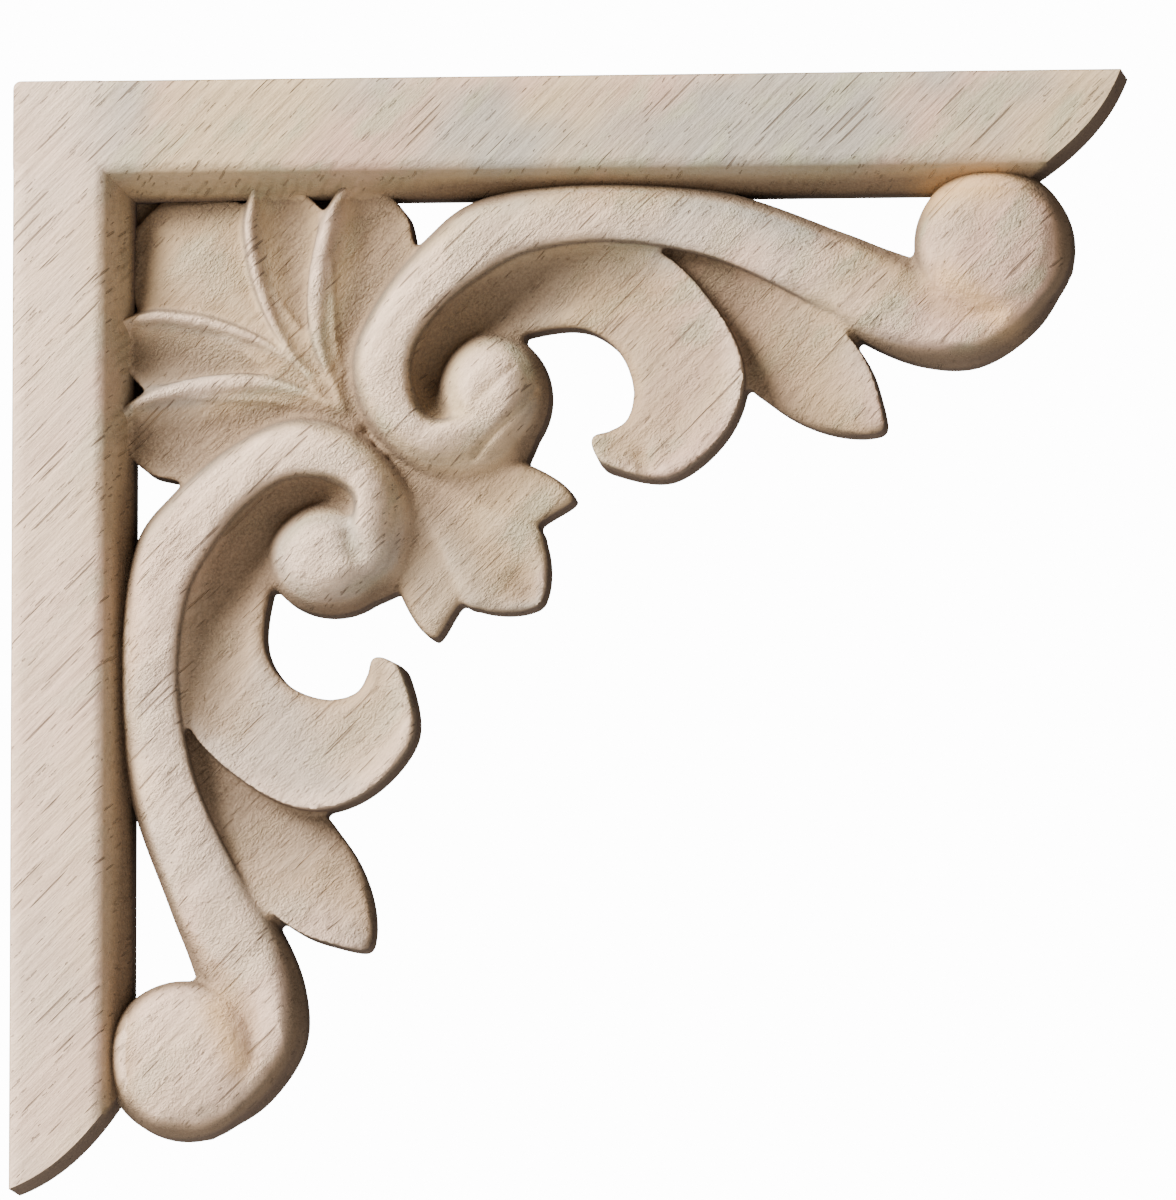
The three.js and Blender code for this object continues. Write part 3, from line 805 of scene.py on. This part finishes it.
class WoodBench(NodeBench):
    """Raw pale wood with open pores, with painted shade in its hollows and on its steep walls."""

    def __init__(self, material, colours):
        super().__init__(material)
        self.colours = colours
        spots = self.add("ShaderNodeTexCoord").outputs
        in_mm = self.stretch(spots["Object"], (1 / MM, 1 / MM, 1 / MM))
        self.spot = self.add("ShaderNodeSeparateXYZ", {0: in_mm}).outputs
        self.proud = self.times(self.spot["Y"], -1)
        outward = self.add("ShaderNodeSeparateXYZ", {0: spots["Normal"]}).outputs["Y"]
        self.facing = self.times(outward, -1)
        turned = {"Vector": in_mm, "Rotation": (0, GRAIN_SLOPE, 0)}
        self.grain = self.add("ShaderNodeMapping", turned).outputs[0]

        self.carved = self.mark("carved")
        self.recess = self.mark("recess")
        self.raised = self.mark("raised")
        self.crease_yellow = self.mark("crease_yellow")

        self.bands = self.board_noise(BANDS, 3)
        self.clouds = self.board_noise(CLOUDS, 3)
        self.fibres = self.board_noise(FIBRES, 4, 0.65)
        self.grit = self.noise(in_mm, GRIT, 3, 0.7)
        self.speckle = self.ramp(self.grit, 0.35, 0.65)
        self.pores = self.open_pores()

    def mark(self, name):
        """One of the marks that are stored on the mesh."""
        return self.add("ShaderNodeAttribute", attribute_name=name).outputs["Fac"]

    def board_noise(self, rate, detail, roughness=0.5):
        """Noise that is drawn out along the grain."""
        return self.noise(self.stretch(self.grain, (rate[0], rate[1], rate[1])), 1, detail, roughness)

    def dashes(self, scale, thickness):
        """Scattered dashes along the grain, thick where a broad noise is high."""
        cells = {"Vector": self.stretch(self.grain, scale), "Scale": 1, "Exponent": DASH_CORNERS}
        distance = self.add("ShaderNodeTexVoronoi", cells, distance="MINKOWSKI").outputs["Distance"]
        spread = self.noise(self.stretch(self.grain, (scale[0], scale[1], scale[2] / 2)), 1, 1)
        low, high, widest = thickness
        limits = {"Value": spread, "From Min": low, "From Max": high, "To Max": widest}
        width = self.add("ShaderNodeMapRange", limits).outputs[0]
        return self.ramp(self.maths("SUBTRACT", width, distance), 0, DASH_BLUR)

    def open_pores(self):
        """Long pores, and smaller ones that the grit breaks up."""
        broken = self.times(self.dashes(*SHORT_PORES), self.ramp(self.grit, 0.4, 0.5))
        small = self.maths("MAXIMUM", broken, self.dashes(*PITS))
        return self.maths("MAXIMUM", self.dashes(*LONG_PORES), self.times(small, SMALL_PORE_SHARE))

    def tint(self, wood, share, name):
        """The wood with a share of one of its colours."""
        return self.mix(share, wood, colour(getattr(self.colours, name)))

    def bare_board(self):
        """The bands, clouds and fibres of the board, with painted light on the left, lower down and on
        ridges.
        """
        patches = self.board_noise(PATCHES, 2)
        wood = self.tint(colour(self.colours.cream), self.ramp(self.bands, 0.42, 0.62), "pink")
        wood = self.tint(wood, self.ramp(patches, 0.46, 0.64), "grey")
        wood = self.tint(wood, self.times(self.ramp(self.clouds, 0.5, 0.68), GREEN_SHARE), "green")
        # Painted light: paler towards the left rail, lower down and on the ridges
        on_rail = self.times(self.ramp(self.spot["X"], 8, -2), RAIL_PAINTED_LIGHT)
        lower = self.ramp(self.maths("ADD", self.spot["X"], self.spot["Z"]), 20, -60)
        wood = self.tint(wood, self.maths("MAXIMUM", on_rail, self.times(lower, LOWER_PAINTED_LIGHT)), "pale")
        wood = self.tint(wood, self.times(self.ramp(self.raised, 0.03, 0.45), RIDGE_PAINTED_LIGHT), "pale")
        faint = self.tint(wood, FIBRE_SHARE, "pore")
        return self.mix(self.ramp(self.fibres, 0.3, 0.6), faint, wood)

    def ticks(self):
        """The ticks of the cutter, where the slope of a rail ends."""
        along = self.times(self.maths("SUBTRACT", self.spot["X"], self.spot["Z"]), TICKS)
        wave = self.maths("SINE", self.maths("ADD", along, self.times(self.bands, TICK_DRIFT)))
        on_slope = self.times(self.ramp(self.carved, 0.2, 0.7), self.straight(self.carved, 1, 0.9))
        return self.times(self.ramp(wave, 0, 1), on_slope, self.ramp(self.clouds, 0.4, 0.55))

    def worked_board(self):
        """The board with its pores, its speckle and the ticks of the cutter."""
        wood = self.tint(self.bare_board(), self.times(self.pores, PORE_SHARE), "pore")
        wood = self.tint(wood, self.times(self.speckle, SPECKLE_SHARE), "pore")
        return self.tint(wood, self.times(self.ticks(), TICK_SHARE), "pore")

    def shaded_board(self):
        """The board with painted shade, browner the lower, the steeper and the more hollow it is, and
        plain at the back.
        """
        board = self.worked_board()
        # Painted shade: greyer brown the lower the carving lies
        low = self.times(self.ramp(self.proud, 6.9, 3), self.carved)
        wood = self.tint(board, self.times(low, LOW_SHARE), "low")
        # Painted warm shade in the hollows
        wood = self.tint(wood, self.times(self.ramp(self.recess, 0.02, 0.4), WARM_SHARE), "warm")

        # Painted shade on the steep sides, less of it on the ridges
        spared_on_ridges = self.without(self.times(self.raised, RIDGE_SHADE_CUT))
        steep = self.times(self.without(self.ramp(self.facing, 0.3, 0.88)), spared_on_ridges)
        wall = self.tint(colour(self.colours.wall), self.straight(self.carved, 0.9, 1), "flank")
        wood = self.mix(self.times(steep, self.between(self.speckle, 0.98, 0.78)), wood, wall)

        flecked = self.between(self.speckle, 0.95, 0.7)
        # Painted shade in the hollows and beside the rails
        wood = self.tint(wood, self.times(self.straight(self.recess, 0.1, 0.85), flecked), "recess")
        # Painted shade on the walls that run straight down, on the rails and low on the carving
        upright = self.without(self.ramp(self.facing, 0.1, 0.42))
        on_rail, on_foot = self.straight(self.carved, 1, 0.5), self.straight(self.proud, 5.2, 3.4)
        upright = self.times(upright, self.maths("MAXIMUM", on_rail, on_foot))
        wood = self.tint(wood, self.times(upright, flecked), "edge")
        # Yellow in the creases beside the balls
        wood = self.tint(wood, self.times(self.crease_yellow, CREASE_YELLOW_SHARE), "warm")
        return self.mix(self.ramp(self.facing, -0.5, -0.8), wood, board)

    def relief(self):
        """The height of the fibres, of the fuzz that the knife raised, and of the pores, in mm."""
        rough = self.times(self.carved, 1 - SMOOTH_FUZZ)
        rough = self.maths("ADD", rough, SMOOTH_FUZZ)
        rough = self.maths("ADD", rough, self.raised)
        rough = self.times(rough, self.between(self.ramp(self.clouds, 0.4, 0.6), 0.35, 1))
        height = self.times(self.board_noise(FUZZ, 2, 0.7), rough, FUZZ_HEIGHT)
        height = self.maths("ADD", height, self.times(self.fibres, FIBRE_HEIGHT))
        return self.maths("SUBTRACT", height, self.times(self.pores, PORE_DEPTH))

    def finish(self):
        """Joins the colour and the relief in a matt surface."""
        relief = {"Height": self.relief(), "Strength": 1, "Distance": MM}
        surface = {
            "Base Color": self.shaded_board(), "Roughness": 0.85, "Specular IOR Level": 0.25,
            "Normal": self.add("ShaderNodeBump", relief).outputs[0],
        }
        shader = self.add("ShaderNodeBsdfPrincipled", surface)
        self.add("ShaderNodeOutputMaterial", {"Surface": shader.outputs[0]})


def wood_material(colours):
    material = bpy.data.materials.new("raw_wood")
    WoodBench(material, colours).finish()
    return material


# The marks compare each point with the carving around it, over a near and a far reach, on a grid of
# cells. The depths are how far below or above that counts in full.
CELL = 0.5 # mm
NEAR_REACH = 2.5 # mm
NEAR_DEPTH = 2.4 # mm
FAR_REACH = 5 # mm
FAR_DEPTH = 2.4 # mm
BESIDE_REACH = 1.1 # mm that the painted shade reaches out from the rails

# How much each of them counts in a recess
NEAR_SHARE = 0.6
FAR_SHARE = 1.1
BESIDE_SHARE = 0.4

# Yellow put in the creases beside the balls: from, to and half width, in mm across and down
CREASE_YELLOWS = (
    ((83.4, 11), (88, 10), 1.9),
    ((84.4, 18.6), (89, 22), 1.5),
    ((18.6, 84), (20.6, 88.6), 1.6),
)


def blurred(grid, reach):
    """A grid of values, smoothed over a reach in cells, first one way and then the other."""
    span = np.arange(-3 * reach, 3 * reach + 1)
    weights = np.exp(-0.5 * (span / reach) ** 2)
    weights /= weights.sum()
    for axis in (0, 1):
        grid = np.apply_along_axis(lambda line: np.convolve(line, weights, mode="same"), axis, grid)
    return grid


def mark_depths(data, measures):
    """Stores how far each point lies below or above what is around it, what is carved, and the yellow
    creases by the balls.
    """
    points = np.empty(len(data.vertices) * 3)
    data.vertices.foreach_get("co", points)
    points = points.reshape(-1, 3) / MM
    proud = -points[:, 1]
    corner = measures.rail_width / 2
    across, down = points[:, 0] + corner, corner - points[:, 2]
    cells = (np.stack([across, down], 1) / CELL).astype(int)
    cells = np.clip(cells, 0, None)
    size = cells.max() + 1
    top = np.zeros((size, size))
    np.maximum.at(top, (cells[:, 0], cells[:, 1]), proud)
    inside = (top > 0).astype(float)

    def below(distance, depth):
        reach = int(distance / CELL)
        around = blurred(top, reach) / np.maximum(blurred(inside, reach), 1e-3)
        return (around[cells[:, 0], cells[:, 1]] - proud) / depth

    near, far = below(NEAR_REACH, NEAR_DEPTH), below(FAR_REACH, FAR_DEPTH)
    from_rails = np.minimum(across, down) - measures.rail_width
    carved = np.clip(from_rails / measures.slope_width + 1, 0, 1)
    # Painted shade beside the rails, fading away from them
    beside = np.exp(-np.maximum(from_rails, 0) / BESIDE_REACH) * (carved == 1)
    places = np.stack([across, down], 1)
    crease_yellow = np.zeros(len(across))
    for start, end, width in CREASE_YELLOWS:
        along = np.subtract(end, start)
        share = np.clip((places - start) @ along / (along @ along), 0, 1)
        away = np.linalg.norm(places - start - share[:, None] * along, axis=1) / width
        crease_yellow = np.maximum(crease_yellow, np.exp(-away * away))
    # The recess mark carries the painted shade of the hollows and beside the rails
    lowered = NEAR_SHARE * np.clip(near, 0, 1) + FAR_SHARE * np.clip(far, 0, 1)
    marks = {
        "crease_yellow": crease_yellow,
        "recess": lowered + BESIDE_SHARE * beside,
        "raised": np.clip(-near, 0, 1) * carved,
        "carved": carved,
    }
    for name, values in marks.items():
        data.attributes.new(name, "FLOAT", "POINT").data.foreach_set("value", values)


class APPLIQUE_OT_carving(bpy.types.Operator):
    """Carve the rails, the shell, the bud and both branches as one piece of wood"""

    bl_idname = "applique.carving"
    bl_label = "Carve the applique"

    def execute(self, context):
        measures = Measures(context.scene.applique_sizes)
        piece = build_carving(measures)
        piece.data.shade_smooth()
        piece.data.set_sharp_from_angle(angle=SHARP_ANGLE)
        mark_depths(piece.data, measures)
        piece.data.materials.clear()
        piece.data.materials.append(wood_material(context.scene.applique_colours))
        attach(piece, "root")
        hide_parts(NODE)
        return {"FINISHED"}


CAMERA_TURN = math.radians(6) # to the right of straight on
CAMERA_RISE = math.radians(-6) # below straight on
CAMERA_ROLL = math.radians(0.1)
CAMERA_DISTANCE = 2
VIEW_HEIGHT = 107.48 * MM # what the long side of the picture takes in, at the top of the rails
VIEW_CENTRE = (52.12, 47.44) # mm across and down from the outer corner

FLOOR_REACH = 6 # m each way
FLOOR_BELOW = 0.4 # m below the upper rail

# Each light: its place from the aim, in m, its size in m, its power in W and its tint
KEY = ((-0.5, -0.34, 0.36), 0.35, 18, (1, 0.97, 0.93))
FILL = ((1.2, -0.8, 0.1), 1, 2.6, (1, 1, 1))

# The studio's own light on the object, and the white that is seen behind it: colour and strength
GLOW = ((1, 0.85, 0.7), 0.22)
BACKDROP = ((1, 1, 1), 14)


def plain_material(name, value, roughness):
    material = bpy.data.materials.new(name)
    bench = NodeBench(material)
    shader = bench.add("ShaderNodeBsdfPrincipled", {"Base Color": colour(value), "Roughness": roughness})
    bench.add("ShaderNodeOutputMaterial", {"Surface": shader.outputs[0]})
    return material


def add_lamp(name, aim, light):
    """A soft area light, turned to the aim."""
    offset, size, power, tint = light
    data = bpy.data.lights.new(name, "AREA")
    data.shape = "DISK"
    data.size = size
    data.energy = power
    data.color = tint
    lamp = bpy.data.objects.new(name, data)
    lamp.location = aim + Vector(offset)
    lamp.rotation_euler = (-Vector(offset)).to_track_quat("-Z", "Y").to_euler()
    bpy.context.scene.collection.objects.link(lamp)


class APPLIQUE_OT_stage(bpy.types.Operator):
    """Set the floor, the light and the camera round the applique"""

    bl_idname = "applique.stage"
    bl_label = "Set the stage"

    def execute(self, context):
        measures = Measures(context.scene.applique_sizes)
        aim = measures.upright() @ Vector((*VIEW_CENTRE, measures.thickness))

        floor = bmesh.new()
        bmesh.ops.create_grid(floor, x_segments=1, y_segments=1, size=FLOOR_REACH)
        ground = as_object("floor", [floor])
        ground.data.transform(Matrix.Translation((0, 0, -FLOOR_BELOW)))
        ground.data.materials.append(plain_material("pale_floor", (0.85, 0.85, 0.85), 0.9))

        add_lamp("key", aim, KEY)
        add_lamp("fill", aim, FILL)

        world = bpy.data.worlds.new("studio")
        bench = NodeBench(world)
        seen = bench.add("ShaderNodeLightPath").outputs["Is Camera Ray"]
        glow, white = (
            bench.add("ShaderNodeBackground", {"Color": colour(tint), "Strength": strength}).outputs[0]
            for tint, strength in (GLOW, BACKDROP)
        )
        sky = bench.add("ShaderNodeMixShader", {0: seen, 1: glow, 2: white})
        bench.add("ShaderNodeOutputWorld", {"Surface": sky.outputs[0]})
        context.scene.world = world

        data = bpy.data.cameras.new("camera")
        data.lens = data.sensor_width * CAMERA_DISTANCE / VIEW_HEIGHT
        data.clip_start, data.clip_end = 0.01, 20
        camera = bpy.data.objects.new("camera", data)
        turn, rise = CAMERA_TURN, CAMERA_RISE
        back = Vector((math.sin(turn) * math.cos(rise), -math.cos(turn) * math.cos(rise), math.sin(rise)))
        camera.location = aim + back * CAMERA_DISTANCE
        facing = (-back).to_track_quat("-Z", "Y").to_matrix() @ Matrix.Rotation(CAMERA_ROLL, 3, "Z")
        camera.rotation_euler = facing.to_euler()
        context.scene.collection.objects.link(camera)
        context.scene.camera = camera
        return {"FINISHED"}


class APPLIQUE_PT_panel(bpy.types.Panel):
    """Lists the sizes, the colours and the steps that make the applique"""

    bl_idname = "APPLIQUE_PT_panel"
    bl_label = "Carved corner applique"
    bl_space_type = "VIEW_3D"
    bl_region_type = "UI"
    bl_category = "Applique"

    def draw(self, context):
        for group in (context.scene.applique_sizes, context.scene.applique_colours):
            box = self.layout.box()
            for name in group.__annotations__:
                box.prop(group, name)
        for operator in OPERATORS:
            self.layout.operator(operator.bl_idname)


OPERATORS = (APPLIQUE_OT_carving, APPLIQUE_OT_stage)
CLASSES = (AppliqueSizes, AppliqueColours, *OPERATORS, APPLIQUE_PT_panel)


def register():
    for entry in CLASSES:
        bpy.utils.register_class(entry)
    bpy.types.Scene.applique_sizes = PointerProperty(type=AppliqueSizes)
    bpy.types.Scene.applique_colours = PointerProperty(type=AppliqueColours)


def unregister():
    del bpy.types.Scene.applique_colours
    del bpy.types.Scene.applique_sizes
    for entry in reversed(CLASSES):
        bpy.utils.unregister_class(entry)


def main():
    register()
    bpy.ops.applique.carving()
    bpy.ops.applique.stage()


if __name__ == "__main__":
    main()
